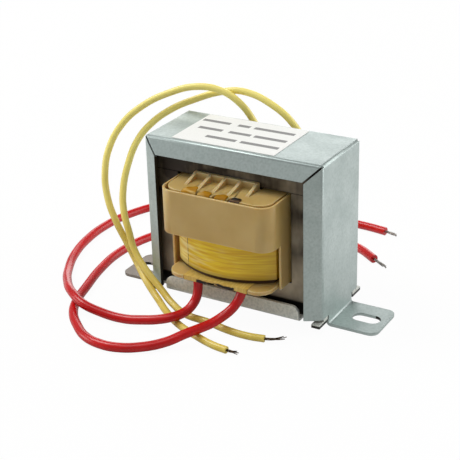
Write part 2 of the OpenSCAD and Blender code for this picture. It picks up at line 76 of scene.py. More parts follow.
def zinc_plated_steel(name, dark, light, metal, shade_below):
    """Cold-rolled sheet with a thin passivated zinc coat: a satin grey with a breath of green, cloudy and
    finely mottled, that takes on the brightness of what stands round it."""
    made, tree = new_material(name)
    place = add(tree, "ShaderNodeTexCoord").outputs["Object"]
    # Clouds of the plating, about 6.5 mm across.
    clouds = add(tree, "ShaderNodeTexNoise", {"Vector": place, "Scale": 1 / (6.5 * MM), "Detail": 4})
    cloudy = add(tree, "ShaderNodeMapRange", {"Value": clouds.outputs["Fac"], **NOISE_RANGE})
    base = add(
        tree,
        "ShaderNodeMixRGB",
        {"Fac": cloudy.outputs["Result"], "Color1": linear(dark), "Color2": linear(light)},
    )
    # Mottled crystals of the zinc, about 0.6 mm.
    grain = add(tree, "ShaderNodeTexNoise", {"Vector": place, "Scale": 1 / (0.6 * MM), "Detail": 2})
    mottled = add(
        tree,
        "ShaderNodeMapRange",
        {"Value": grain.outputs["Fac"], "From Min": 0.4, "From Max": 0.7, "To Max": 0.4},
    )
    coat = add(
        tree,
        "ShaderNodeMixRGB",
        {
            "Fac": mottled.outputs["Result"],
            "Color1": base.outputs["Color"],
            "Color2": linear("#92A09B"),
        },
    )
    # The left foot, more than 27 mm from the middle, is painted a darker brown-grey: painted shade for the
    # dark surroundings it mirrors.
    axes = add(tree, "ShaderNodeSeparateXYZ", {"Vector": place})
    tarnish = add(
        tree,
        "ShaderNodeMapRange",
        {"Value": axes.outputs["X"], "From Min": -26.5 * MM, "From Max": -28 * MM, "To Max": 0.95},
    )
    painted_foot_shade = add(
        tree,
        "ShaderNodeMixRGB",
        {
            "Fac": tarnish.outputs["Result"],
            "Color1": coat.outputs["Color"],
            "Color2": linear("#887D73"),
        },
    )
    # Faces that look inward, the sheared ends and inner faces, are painted near black: painted shade for
    # the dark gaps behind them.
    shape = add(tree, "ShaderNodeNewGeometry")
    outward = add(
        tree,
        "ShaderNodeVectorMath",
        {0: shape.outputs["True Normal"], 1: shape.outputs["Position"]},
        operation="DOT_PRODUCT",
    )
    inward = add(
        tree,
        "ShaderNodeMath",
        {0: outward.outputs["Value"], 1: -2 * MM},
        operation="LESS_THAN",
    )
    # So are the sheared tabs below a height in millimetres: painted shade, as they lie under the lips.
    low = add(tree, "ShaderNodeMath", {0: axes.outputs["Z"], 1: shade_below * MM}, operation="LESS_THAN")
    bare = add(
        tree,
        "ShaderNodeMath",
        {0: inward.outputs["Value"], 1: low.outputs["Value"]},
        operation="MAXIMUM",
    )
    colour = add(
        tree,
        "ShaderNodeMixRGB",
        {
            "Fac": bare.outputs["Value"],
            "Color1": painted_foot_shade.outputs["Color"],
            "Color2": linear("#25231F"),
        },
    )
    rough = add(
        tree,
        "ShaderNodeMapRange",
        {"Value": clouds.outputs["Fac"], **NOISE_RANGE, "To Min": 0.45, "To Max": 0.36},
    )
    bump = add(
        tree, "ShaderNodeBump", {"Height": grain.outputs["Fac"], "Strength": 0.3, "Distance": 0.02 * MM}
    )
    surface = add(
        tree,
        "ShaderNodeBsdfPrincipled",
        {
            "Base Color": colour.outputs["Color"],
            "Metallic": metal,
            "Roughness": rough.outputs["Result"],
            "Normal": bump.outputs["Normal"],
        },
    )
    add(tree, "ShaderNodeOutputMaterial", {"Surface": surface.outputs["BSDF"]})
    return made


def varnished_core_steel():
    """Silicon steel sheet under brown varnish: a dull brown-grey in soft clouds, faintly streaked where the
    varnish ran down the legs, with painted light on the lower legs and near black painted shade in the
    gaps."""
    made, tree = new_material("varnished_core_steel")
    place = add(tree, "ShaderNodeTexCoord").outputs["Object"]
    # Clouds about 8 mm across, and streaks about 9 mm long and 1.2 mm wide along the legs.
    clouds = add(tree, "ShaderNodeTexNoise", {"Vector": place, "Scale": 1 / (8 * MM), "Detail": 3})
    along = add(
        tree,
        "ShaderNodeMapping",
        {"Vector": place, "Scale": (1 / (1.2 * MM), 1 / (1.2 * MM), 1 / (9 * MM))},
    )
    streaks = add(
        tree,
        "ShaderNodeTexNoise",
        {"Vector": along.outputs["Vector"], "Scale": 1, "Detail": 3},
    )
    varnish = add(
        tree,
        "ShaderNodeMath",
        {0: streaks.outputs["Fac"], 1: 0.2, 2: clouds.outputs["Fac"]},
        operation="MULTIPLY_ADD",
    )
    # The varnish drained downward and left the lower legs paler.
    # The lower legs are painted paler: a painted reflection of the bright table below them.
    height = add(tree, "ShaderNodeSeparateXYZ", {"Vector": place}).outputs["Z"]
    painted_table_light = add(
        tree,
        "ShaderNodeMapRange",
        {"Value": height, "From Min": 30 * MM, "From Max": 14 * MM, "To Max": 0.35},
    )
    varnish_and_table_light = add(tree, "ShaderNodeMath", {0: varnish.outputs["Value"], 1: painted_table_light.outputs["Result"]})
    tone_and_table_light = add(
        tree,
        "ShaderNodeMapRange",
        {"Value": varnish_and_table_light.outputs["Value"], "From Min": 0.5, "From Max": 0.95},
    )
    sheet = add(
        tree,
        "ShaderNodeMixRGB",
        {"Fac": tone_and_table_light.outputs["Result"], "Color1": linear("#382F25"), "Color2": linear("#B5AA96")},
    )
    # Painted shade: near black within 2.5 mm of a neighbour, where the gaps lie dark.
    painted_gap_shade = linear("#0F0C08")
    gap = add(tree, "ShaderNodeAmbientOcclusion", {"Distance": 2.5 * MM}, samples=8)
    open_face = add(
        tree,
        "ShaderNodeMapRange",
        {"Value": gap.outputs["AO"], "From Min": 0.2, "From Max": 0.6},
    )
    colour = add(
        tree,
        "ShaderNodeMixRGB",
        {"Fac": open_face.outputs["Result"], "Color1": painted_gap_shade, "Color2": sheet.outputs["Color"]},
    )
    # Painted shade also at the foot, in the slot behind the flange of the base plate.
    foot = add(
        tree,
        "ShaderNodeMapRange",
        {"Value": height, "From Min": 6.3 * MM, "From Max": 6.9 * MM, "To Min": 1, "To Max": 0},
    )
    slot_shaded = add(
        tree,
        "ShaderNodeMixRGB",
        {"Fac": foot.outputs["Result"], "Color1": colour.outputs["Color"], "Color2": painted_gap_shade},
    )
    rough = add(
        tree,
        "ShaderNodeMapRange",
        {
            "Value": varnish.outputs["Value"],
            "From Min": 0.4,
            "From Max": 0.8,
            "To Min": 0.55,
            "To Max": 0.4,
        },
    )
    surface = add(
        tree,
        "ShaderNodeBsdfPrincipled",
        {"Base Color": slot_shaded.outputs["Color"], "Metallic": 0.3, "Roughness": rough.outputs["Result"]},
    )
    add(tree, "ShaderNodeOutputMaterial", {"Surface": surface.outputs["BSDF"]})
    return made


def natural_nylon():
    """Injection-moulded nylon without dye: a warm tan that lets some light in; thin edges and the ribs get
    painted light, a paler colour."""
    made, tree = new_material("natural_nylon")
    place = add(tree, "ShaderNodeTexCoord").outputs["Object"]
    # Faint flow clouds of the moulding, about 10 mm across.
    flow = add(tree, "ShaderNodeTexNoise", {"Vector": place, "Scale": 1 / (10 * MM), "Detail": 4})
    flowing = add(tree, "ShaderNodeMapRange", {"Value": flow.outputs["Fac"], **NOISE_RANGE})
    body = add(
        tree,
        "ShaderNodeMixRGB",
        {"Fac": flowing.outputs["Result"], "Color1": linear("#C2A25E"), "Color2": linear("#CDB070")},
    )
    # Painted light on thin edges, within 0.5 mm of a corner that stands free.
    rounded = add(tree, "ShaderNodeBevel", {"Radius": 0.5 * MM}, samples=6)
    turned = add(
        tree,
        "ShaderNodeVectorMath",
        {0: rounded.outputs["Normal"], 1: add(tree, "ShaderNodeNewGeometry").outputs["Normal"]},
        operation="DOT_PRODUCT",
    )
    edge = add(
        tree,
        "ShaderNodeMapRange",
        {"Value": turned.outputs["Value"], "From Min": 0.99, "From Max": 0.85, "To Max": 0.9},
    )
    around = add(tree, "ShaderNodeAmbientOcclusion", {"Distance": 1 * MM}, samples=6)
    free = add(
        tree,
        "ShaderNodeMapRange",
        {"Value": around.outputs["AO"], "From Min": 0.7, "From Max": 0.95},
    )
    painted_edge_light = add(
        tree,
        "ShaderNodeMath",
        {0: edge.outputs["Result"], 1: free.outputs["Result"]},
        operation="MULTIPLY",
    )
    # Painted light also on the thin ribs that rise above the top flange, 35 mm up, standing for the light
    # that comes through them.
    height = add(tree, "ShaderNodeSeparateXYZ", {"Vector": place}).outputs["Z"]
    ribs = add(
        tree,
        "ShaderNodeMapRange",
        {"Value": height, "From Min": 34.9 * MM, "From Max": 36.6 * MM, "To Max": 0.6},
    )
    thin = add(
        tree,
        "ShaderNodeMath",
        {0: painted_edge_light.outputs["Value"], 1: ribs.outputs["Result"]},
        operation="MAXIMUM",
    )
    # The pale colour that both masks mix in is painted light.
    colour = add(
        tree,
        "ShaderNodeMixRGB",
        {"Fac": thin.outputs["Value"], "Color1": body.outputs["Color"], "Color2": linear("#EBDDB4")},
    )
    # Spark texture of the mould, about 0.25 mm.
    texture = add(tree, "ShaderNodeTexNoise", {"Vector": place, "Scale": 1 / (0.25 * MM), "Detail": 2})
    bump = add(
        tree,
        "ShaderNodeBump",
        {"Height": texture.outputs["Fac"], "Strength": 0.2, "Distance": 0.01 * MM},
    )
    surface = add(
        tree,
        "ShaderNodeBsdfPrincipled",
        {
            "Base Color": colour.outputs["Color"],
            "Roughness": 0.34,
            "IOR": 1.53,
            "Subsurface Weight": 0.6,
            "Subsurface Radius": (1.0, 0.7, 0.35),
            "Subsurface Scale": 1.2 * MM,
            "Normal": bump.outputs["Normal"],
        },
    )
    add(tree, "ShaderNodeOutputMaterial", {"Surface": surface.outputs["BSDF"]})
    return made


def enamelled_copper():
    """Turns of fine copper wire under brown enamel: glossy lines side by side, with painted shade that
    darkens them to near black.
    """
    made, tree = new_material("enamelled_copper")
    place = add(tree, "ShaderNodeTexCoord").outputs["Object"]
    # Turns 0.4 mm apart up the winding, coarser than the real wire so that they show.
    turns = add(
        tree,
        "ShaderNodeTexWave",
        {"Vector": place, "Scale": math.pi / 10 / (0.4 * MM), "Distortion": 1.5, "Detail": 1},
        bands_direction="Z",
    )
    # Both colours are painted darker than the enamel: painted shade for the gap below the tape and the last
    # bay.
    colour = add(
        tree,
        "ShaderNodeMixRGB",
        {"Fac": turns.outputs["Fac"], "Color1": linear("#1E1408"), "Color2": linear("#5A3A14")},
    )
    bump = add(
        tree, "ShaderNodeBump", {"Height": turns.outputs["Fac"], "Strength": 0.6, "Distance": 0.1 * MM}
    )
    surface = add(
        tree,
        "ShaderNodeBsdfPrincipled",
        {
            "Base Color": colour.outputs["Color"],
            "Metallic": 0.4,
            "Roughness": 0.35,
            "Normal": bump.outputs["Normal"],
        },
    )
    add(tree, "ShaderNodeOutputMaterial", {"Surface": surface.outputs["BSDF"]})
    return made


def polyester_tape(name, dark, light, rough, ior):
    """Thin yellow polyester film wound tight: glossy and greenish gold, with the turns below showing as
    fine level lines, paler past the cut end of the last layer, where the film lies double."""
    made, tree = new_material(name)
    place = add(tree, "ShaderNodeTexCoord").outputs["Object"]
    # Level lines about 0.5 mm apart, drawn out along the turns.
    level = add(
        tree,
        "ShaderNodeMapping",
        {"Vector": place, "Scale": (1 / (9 * MM), 1 / (9 * MM), 1 / (0.5 * MM))},
    )
    lines = add(
        tree,
        "ShaderNodeTexNoise",
        {"Vector": level.outputs["Vector"], "Scale": 1, "Detail": 4},
    )
    lined = add(tree, "ShaderNodeMapRange", {"Value": lines.outputs["Fac"], **NOISE_RANGE})
    single = add(
        tree,
        "ShaderNodeMixRGB",
        {"Fac": lined.outputs["Result"], "Color1": linear(dark), "Color2": linear(light)},
    )
    double = add(
        tree,
        "ShaderNodeMixRGB",
        {"Fac": lined.outputs["Result"], "Color1": linear("#DCAC28"), "Color2": linear("#FFEE90")},
    )
    # The cut end stands upright, 9.6 mm to the left of the middle, and shows as a fine dark crease.
    cut_end = -9.6 * MM
    across = add(tree, "ShaderNodeSeparateXYZ", {"Vector": place})
    past_end = add(
        tree, "ShaderNodeMath", {0: across.outputs["X"], 1: cut_end}, operation="LESS_THAN"
    )
    film = add(
        tree,
        "ShaderNodeMixRGB",
        {
            "Fac": past_end.outputs["Value"],
            "Color1": single.outputs["Color"],
            "Color2": double.outputs["Color"],
        },
    )
    crease = add(
        tree, "ShaderNodeMath", {0: across.outputs["X"], 1: cut_end, 2: 0.12 * MM}, operation="COMPARE"
    )
    creased = add(
        tree,
        "ShaderNodeMixRGB",
        {"Fac": crease.outputs["Value"], "Color1": film.outputs["Color"], "Color2": linear("#6E4E10")},
    )
    # Painted highlight: pale streaks about 0.9 mm apart, strongest at the left, where the light falls.
    drawn = add(
        tree,
        "ShaderNodeMapping",
        {"Vector": place, "Scale": (1 / (7 * MM), 1 / (7 * MM), 1 / (0.9 * MM))},
    )
    highlight_noise = add(
        tree,
        "ShaderNodeTexNoise",
        {"Vector": drawn.outputs["Vector"], "Scale": 1, "Detail": 2},
    )
    highlight_streaks = add(
        tree,
        "ShaderNodeMapRange",
        {"Value": highlight_noise.outputs["Fac"], "From Min": 0.5, "From Max": 0.7},
    )
    left = add(
        tree,
        "ShaderNodeMapRange",
        {"Value": across.outputs["X"], "From Min": 8 * MM, "From Max": -10 * MM, "To Max": 0.65},
    )
    pale = add(
        tree,
        "ShaderNodeMath",
        {0: highlight_streaks.outputs["Result"], 1: left.outputs["Result"]},
        operation="MULTIPLY",
    )
    streaked = add(
        tree,
        "ShaderNodeMixRGB",
        {"Fac": pale.outputs["Value"], "Color1": creased.outputs["Color"], "Color2": linear("#FFF0A8")},
    )
    # The lower edge, 13.5 mm up, is darker: painted shade.
    painted_low_shade = add(
        tree,
        "ShaderNodeMapRange",
        {"Value": across.outputs["Z"], "From Min": 15.2 * MM, "From Max": 13.6 * MM, "To Max": 0.6},
    )
    low_shaded = add(
        tree,
        "ShaderNodeMixRGB",
        {
            "Fac": painted_low_shade.outputs["Result"],
            "Color1": streaked.outputs["Color"],
            "Color2": linear("#7A5E08"),
        },
    )
    # Towards the right the film turns a browner gold.
    browner_right = add(
        tree,
        "ShaderNodeMapRange",
        {"Value": across.outputs["X"], "From Min": 5 * MM, "From Max": 13 * MM, "To Max": 0.4},
    )
    colour = add(
        tree,
        "ShaderNodeMixRGB",
        {
            "Fac": browner_right.outputs["Result"],
            "Color1": low_shaded.outputs["Color"],
            "Color2": linear("#B48224"),
        },
    )
    bump = add(
        tree, "ShaderNodeBump", {"Height": lines.outputs["Fac"], "Strength": 0.5, "Distance": 0.12 * MM}
    )
    surface = add(
        tree,
        "ShaderNodeBsdfPrincipled",
        {
            "Base Color": colour.outputs["Color"],
            "Roughness": rough,
            "IOR": ior,
            "Normal": bump.outputs["Normal"],
        },
    )
    add(tree, "ShaderNodeOutputMaterial", {"Surface": surface.outputs["BSDF"]})
    return made


def crepe_tape():
    """Short strip of creped paper tape over the lead bays: beige gold and dull, with fine cross
    wrinkles."""
    made, tree = new_material("crepe_tape")
    place = add(tree, "ShaderNodeTexCoord").outputs["Object"]
    # Wrinkles about 0.4 mm wide and 3 mm long, across the strip.
    across = add(
        tree,
        "ShaderNodeMapping",
        {"Vector": place, "Scale": (1 / (0.4 * MM), 1 / (3 * MM), 1 / (3 * MM))},
    )
    wrinkles = add(
        tree,
        "ShaderNodeTexNoise",
        {"Vector": across.outputs["Vector"], "Scale": 1, "Detail": 3},
    )
    creped = add(tree, "ShaderNodeMapRange", {"Value": wrinkles.outputs["Fac"], **NOISE_RANGE})
    colour = add(
        tree,
        "ShaderNodeMixRGB",
        {"Fac": creped.outputs["Result"], "Color1": linear("#C8A242"), "Color2": linear("#E4C66E")},
    )
    # Between the leads, below a ragged line about 12 mm up, the strip is painted near black: painted shade
    # for the dark bays behind it.
    axes = add(tree, "ShaderNodeSeparateXYZ", {"Vector": place})
    ragged_noise = add(tree, "ShaderNodeTexNoise", {"Vector": place, "Scale": 1 / (2 * MM), "Detail": 2})
    shade_line = add(
        tree,
        "ShaderNodeMath",
        {0: ragged_noise.outputs["Fac"], 1: 1.1 * MM, 2: 11.45 * MM},
        operation="MULTIPLY_ADD",
    )
    below = add(
        tree,
        "ShaderNodeMath",
        {0: axes.outputs["Z"], 1: shade_line.outputs["Value"]},
        operation="LESS_THAN",
    )
    between = add(
        tree,
        "ShaderNodeMath",
        {0: axes.outputs["X"], 1: 0, 2: 5.4 * MM},
        operation="COMPARE",
    )
    painted_bay_shade = add(
        tree,
        "ShaderNodeMath",
        {0: below.outputs["Value"], 1: between.outputs["Value"]},
        operation="MULTIPLY",
    )
    bay_shaded = add(
        tree,
        "ShaderNodeMixRGB",
        {"Fac": painted_bay_shade.outputs["Value"], "Color1": colour.outputs["Color"], "Color2": linear("#140A04")},
    )
    bump = add(
        tree,
        "ShaderNodeBump",
        {"Height": wrinkles.outputs["Fac"], "Strength": 0.4, "Distance": 0.06 * MM},
    )
    surface = add(
        tree,
        "ShaderNodeBsdfPrincipled",
        {"Base Color": bay_shaded.outputs["Color"], "Roughness": 0.6, "Normal": bump.outputs["Normal"]},
    )
    add(tree, "ShaderNodeOutputMaterial", {"Surface": surface.outputs["BSDF"]})
    return made


# Plain grey strokes on the label: left end, right end and middle line of each, in millimetres.
STROKES = [
    (-16.8, -8.8, 5.2), (-6.6, -3.1, 5.2), (-1.9, 9.5, 5.2),
    (-15.1, -8.2, 0.0), (-6.3, -0.1, 0.0), (0.9, 9.9, 0.0),
    (-10.1, -1.5, -4.9), (-0.3, 10.3, -4.9),
]
STROKE_H = 1.5


def label_paper():
    """Self-adhesive white paper: matt, with the faint mottle of its fibres and plain grey strokes of
    ink."""
    made, tree = new_material("label_paper")
    place = add(tree, "ShaderNodeTexCoord").outputs["Object"]
    # Fibres, about 0.3 mm.
    fibres = add(tree, "ShaderNodeTexNoise", {"Vector": place, "Scale": 1 / (0.3 * MM), "Detail": 3})
    fibrous = add(tree, "ShaderNodeMapRange", {"Value": fibres.outputs["Fac"], **NOISE_RANGE})
    paper = add(
        tree,
        "ShaderNodeMixRGB",
        {"Fac": fibrous.outputs["Result"], "Color1": linear("#EBEBE6"), "Color2": linear("#F5F5F1")},
    )
    across = add(tree, "ShaderNodeSeparateXYZ", {"Vector": place})
    ink = 0.0
    for left, right, line in STROKES:
        along = add(
            tree,
            "ShaderNodeMath",
            {0: across.outputs["X"], 1: (left + right) / 2 * MM, 2: (right - left) / 2 * MM},
            operation="COMPARE",
        )
        beside = add(
            tree,
            "ShaderNodeMath",
            {0: across.outputs["Y"], 1: line * MM, 2: STROKE_H / 2 * MM},
            operation="COMPARE",
        )
        ink = add(
            tree,
            "ShaderNodeMath",
            {0: along.outputs["Value"], 1: beside.outputs["Value"], 2: ink},
            operation="MULTIPLY_ADD",
        ).outputs["Value"]
    colour = add(
        tree,
        "ShaderNodeMixRGB",
        {"Fac": ink, "Color1": paper.outputs["Color"], "Color2": linear("#8E8E8C")},
    )
    surface = add(
        tree,
        "ShaderNodeBsdfPrincipled",
        {"Base Color": colour.outputs["Color"], "Roughness": 0.7, "IOR": 1.45},
    )
    add(tree, "ShaderNodeOutputMaterial", {"Surface": surface.outputs["BSDF"]})
    return made


def soft_pvc(name, dark, light, pale):
    """Extruded PVC insulation: soft gloss, with faint cloudiness along the wire, and painted light, a paler
    colour, where it stands high."""
    made, tree = new_material(name)
    place = add(tree, "ShaderNodeTexCoord").outputs["Object"]
    # Clouds in the plastic, about 5 mm, and the fine drag of the die, about 0.3 mm.
    clouds = add(tree, "ShaderNodeTexNoise", {"Vector": place, "Scale": 1 / (5 * MM), "Detail": 3})
    cloudy = add(tree, "ShaderNodeMapRange", {"Value": clouds.outputs["Fac"], **NOISE_RANGE})
    drag = add(tree, "ShaderNodeTexNoise", {"Vector": place, "Scale": 1 / (0.3 * MM), "Detail": 2})
    body = add(
        tree,
        "ShaderNodeMixRGB",
        {"Fac": cloudy.outputs["Result"], "Color1": linear(dark), "Color2": linear(light)},
    )
    # Loops that stand 15 mm and more above the table are painted paler: painted light.
    height = add(tree, "ShaderNodeSeparateXYZ", {"Vector": place}).outputs["Z"]
    high = add(
        tree,
        "ShaderNodeMapRange",
        {"Value": height, "From Min": 15 * MM, "From Max": 35 * MM, "To Max": 0.85},
    )
    colour = add(
        tree,
        "ShaderNodeMixRGB",
        {"Fac": high.outputs["Result"], "Color1": body.outputs["Color"], "Color2": linear(pale)},
    )
    bump = add(
        tree, "ShaderNodeBump", {"Height": drag.outputs["Fac"], "Strength": 0.05, "Distance": 0.02 * MM}
    )
    surface = add(
        tree,
        "ShaderNodeBsdfPrincipled",
        {
            "Base Color": colour.outputs["Color"],
            "Roughness": 0.27,
            "IOR": 1.48,
            "Normal": bump.outputs["Normal"],
        },
    )
    add(tree, "ShaderNodeOutputMaterial", {"Surface": surface.outputs["BSDF"]})
    return made


def stranded_copper(name, dark, light):
    """Fine strands of the wire: drawn metal, darkened in spots by handling."""
    made, tree = new_material(name)
    place = add(tree, "ShaderNodeTexCoord").outputs["Object"]
    # Tarnish in spots about 0.8 mm long.
    tarnish = add(tree, "ShaderNodeTexNoise", {"Vector": place, "Scale": 1 / (0.8 * MM), "Detail": 3})
    spotted = add(
        tree,
        "ShaderNodeMapRange",
        {"Value": tarnish.outputs["Fac"], "From Min": 0.35, "From Max": 0.65},
    )
    colour = add(
        tree,
        "ShaderNodeMixRGB",
        {"Fac": spotted.outputs["Result"], "Color1": linear(dark), "Color2": linear(light)},
    )
    surface = add(
        tree,
        "ShaderNodeBsdfPrincipled",
        {"Base Color": colour.outputs["Color"], "Metallic": 1.0, "Roughness": 0.4},
    )
    add(tree, "ShaderNodeOutputMaterial", {"Surface": surface.outputs["BSDF"]})
    return made


steel = zinc_plated_steel("zinc_plated_steel", "#AFBBB8", "#BCC7C4", 0.7, -1)
dull_steel = zinc_plated_steel("dull_zinc_plated_steel", "#DCDED6", "#E8EAE2", 0.3, 2.35)
core_steel = varnished_core_steel()
nylon = natural_nylon()
copper = enamelled_copper()
tape = polyester_tape("polyester_tape", "#DAA000", "#FFE430", 0.3, 1.5)
aged_tape = polyester_tape("aged_polyester_tape", "#8E6000", "#BC8400", 0.6, 1.25)
strip = crepe_tape()
paper = label_paper()
# The third colour of each PVC is the painted light on its high loops.
red_pvc = soft_pvc("red_pvc", "#BE0608", "#D20C0E", "#D81416")
yellow_pvc = soft_pvc("yellow_pvc", "#DABF4E", "#EAD470", "#FFF089")
tinned = stranded_copper("tinned_copper", "#6E6A66", "#B4B0AA")
tarnished = stranded_copper("tarnished_tinned_copper", "#2E241A", "#7A6650")

NODE_MATERIALS = {
    "frame": steel,
    "base_plate": dull_steel,
    "outer_e_sheets": core_steel,
    "outer_i_sheets": core_steel,
    "inner_e_sheets": core_steel,
    "inner_i_sheets": core_steel,
    "bobbin": nylon,
    "cover": nylon,
    "primary_winding": copper,
    "primary_tape": tape,
    "secondary_winding": copper,
    "secondary_tape": tape,
    "anchor_tape": strip,
    "label": paper,
    "red_left_lead": red_pvc,
    "red_right_lead": red_pvc,
    "yellow_left_lead": yellow_pvc,
    "yellow_right_lead": yellow_pvc,
    "red_left_strands": tinned,
    "red_right_strands": tinned,
    "yellow_left_strands": tarnished,
    "yellow_right_strands": tarnished,
}
for name, material in NODE_MATERIALS.items():
    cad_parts[name].material_slots[0].material = material


# Leads

# Route points in millimetres, from the bobbin to the stripped end.
RED_LEFT = [
    (-6.4, -17.4, 12.1), (-6.3, -17.4, 10.2), (-6.2, -17.8, 7.9), (-6.2, -18.7, 6.1), (-6.5, -20, 4.8),
    (-7, -21.7, 3.9), (-7.9, -23.6, 3.4), (-9.3, -25.6, 3.2), (-11.8, -27.3, 2.8), (-15.6, -28.6, 2.3),
    (-22, -29.3, 1.5), (-28.5, -29.8, 2.1), (-33.3, -30, 3.3), (-38.2, -27.5, 3.9), (-45.3, -20.5, 2.6),
    (-51, -12.5, 1.4), (-55.2, -4, 1.25), (-58, 6.5, 1.25), (-58.6, 16, 1.25), (-57.2, 25, 1.25),
    (-52, 36, 1.25), (-43.5, 44.5, 1.25), (-32, 49, 1.25), (-16, 50.8, 1.25), (4, 49.8, 1.25),
    (11, 49.4, 1.25), (16, 48.7, 1.25),
]
RED_RIGHT = [
    (6.4, -17.4, 12.1), (6.4, -17.4, 10.8), (6.1, -17.8, 9.2), (5.5, -18.7, 7.5), (4.5, -20.2, 5.9),
    (3.1, -22.2, 4.6), (1.8, -24.4, 3.8), (0.3, -27, 3.4), (-1.9, -30.6, 3), (-5.3, -35, 1.9),
    (-10, -39, 1.35), (-15, -41.5, 1.25), (-19.6, -42, 1.25), (-24.6, -40.8, 1.25), (-30.1, -37, 1.25),
    (-35, -32, 1.25), (-38, -26.6, 1.25), (-40.6, -18.5, 1.25), (-43.4, -8, 1.25), (-44.6, 3, 1.25),
    (-42.6, 14.8, 1.25), (-37, 25, 1.25), (-27, 33.5, 1.25), (-14, 38, 1.25), (1, 38.6, 1.25),
    (13.7, 35.2, 1.25), (20.4, 30.8, 1.25),
]
YELLOW_LEFT = [
    (-7.8, 18.3, 34), (-7.9, 18.2, 37.4), (-9.2, 16.9, 41.8), (-12, 15, 46.5), (-16.4, 13.8, 49.3),
    (-22.7, 12.4, 50), (-30, 10.2, 48), (-37.2, 6.5, 44), (-41.2, 3, 39.6), (-43.2, -0.5, 34),
    (-42.9, -3.6, 28.4), (-40.8, -6.2, 22.4), (-37.2, -8.2, 17), (-33.6, -8.8, 11.6), (-30.4, -9.5, 7),
    (-24.9, -13.3, 4.1), (-19.2, -16.5, 1.4), (-14, -20.6, 1), (-8, -24.6, 1), (-0.5, -27.8, 1),
    (5.2, -29.6, 1), (9, -30.1, 1),
]
YELLOW_RIGHT = [
    (5, 18.3, 34), (4.8, 18.4, 37.4), (2.7, 17.8, 41.6), (-3.8, 17.2, 46.6), (-11.2, 17, 48.8),
    (-16, 16.2, 48.6), (-25.2, 13.4, 45.6), (-30.8, 10.5, 42.8), (-34.6, 7.5, 39.6), (-37, 4.3, 35.8),
    (-37.8, 0, 30), (-37, -4.2, 24), (-35, -7.2, 19.4), (-32.4, -9.2, 15.2), (-30.2, -10.5, 11.1),
    (-25.7, -12.5, 7.3), (-19.8, -14.2, 3.3), (-15, -16.4, 1.3), (-9, -19.4, 1), (-2, -20.2, 1),
    (5, -21.6, 1), (10.5, -21.8, 1), (14.5, -21.1, 1),
]
RED_D = 2.4
YELLOW_D = 1.85
# Points along a strand, its start inside the insulation in millimetres and its twist in radians.
STRAND_STEPS = 10
STRAND_ROOT = 0.4
STRAND_TWIST = 2.4
# Distance from the middle strand in strand thicknesses, how much it grows towards the tip, and the step by
# which one strand ends short of another.
STRAND_RING = 1.05
STRAND_SPLAY = 0.9
STRAND_SHORT = 0.07


def new_piece(name, data, material):
    """Object in the scene with one material."""
    made = bpy.data.objects.new(name, data)
    bpy.context.scene.collection.objects.link(made)
    data.materials.append(material)
    return made


def lead_curve(name, route, diameter, material):
    """Round lead that runs smoothly through its route points."""
    curve = bpy.data.curves.new(name, "CURVE")
    curve.dimensions = "3D"
    curve.bevel_depth = diameter / 2 * MM
    curve.bevel_resolution = 6
    curve.resolution_u = 10
    curve.use_fill_caps = True
    spline = curve.splines.new("BEZIER")
    spline.bezier_points.add(len(route) - 1)
    for point, place in zip(spline.bezier_points, route):
        point.co = Vector(place) * MM
        point.handle_left_type = "AUTO"
        point.handle_right_type = "AUTO"
    return new_piece(name, curve, material)


def strand_bundle(name, route, tip, count, wire, material):
    """Stripped end: one middle strand and others twisted round it, from the end of the route to a loose
    tip, in millimetres."""
    start = Vector(route[-1])
    heading = (start - Vector(route[-2])).normalized()
    tip = Vector(tip)
    root = start - heading * STRAND_ROOT
    bend = start + heading * (tip - start).length * 0.5
    side = heading.cross(Vector((0, 0, 1))).normalized()
    lift = side.cross(heading)
    curve = bpy.data.curves.new(name, "CURVE")
    curve.dimensions = "3D"
    curve.bevel_depth = wire / 2 * MM
    curve.bevel_resolution = 2
    curve.use_fill_caps = True
    for i in range(count):
        turn = 2 * math.pi * i / (count - 1)
        ring = 0 if i == 0 else wire * STRAND_RING
        spline = curve.splines.new("POLY")
        spline.points.add(STRAND_STEPS)
        reach = 1 - STRAND_SHORT * ((i * 3) % 5)
        for k in range(STRAND_STEPS + 1):
            t = k / STRAND_STEPS * reach
            centre = root * (1 - t) ** 2 + bend * 2 * t * (1 - t) + tip * t**2
            angle = turn + STRAND_TWIST * t
            spread = ring * (1 + STRAND_SPLAY * t**3)
            place = centre + (side * math.cos(angle) + lift * math.sin(angle)) * spread
            spline.points[k].co = (*(place * MM), 1)
    return new_piece(name, curve, material)


# Name, route, thickness, insulation, strands' material, loose tip, number of strands and their thickness.
LEADS = [
    ("red_left", RED_LEFT, RED_D, red_pvc, tinned, (19.9, 47.6, 1.2), 7, 0.24),
    ("red_right", RED_RIGHT, RED_D, red_pvc, tinned, (25.4, 27.6, 1.2), 7, 0.24),
    ("yellow_left", YELLOW_LEFT, YELLOW_D, yellow_pvc, tarnished, (12.3, -29.9, 1.0), 5, 0.22),
    ("yellow_right", YELLOW_RIGHT, YELLOW_D, yellow_pvc, tarnished, (19.4, -18.8, 1.6), 5, 0.22),
]
for name, route, diameter, material, bare, tip, count, wire in LEADS:
    lead = lead_curve(name + "_insulation", route, diameter, material)
    ends = strand_bundle(name + "_stripped_end", route, tip, count, wire, bare)
    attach(lead, "root")
    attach(ends, "root")
    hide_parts(name + "_lead")
    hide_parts(name + "_strands")


# Film tabs

# Depth of each row of a tab, from behind the cover into the bay, in millimetres.
TAB_DEPTHS = [-19.38, -19.34, -19.1, -18.4, -17.5]
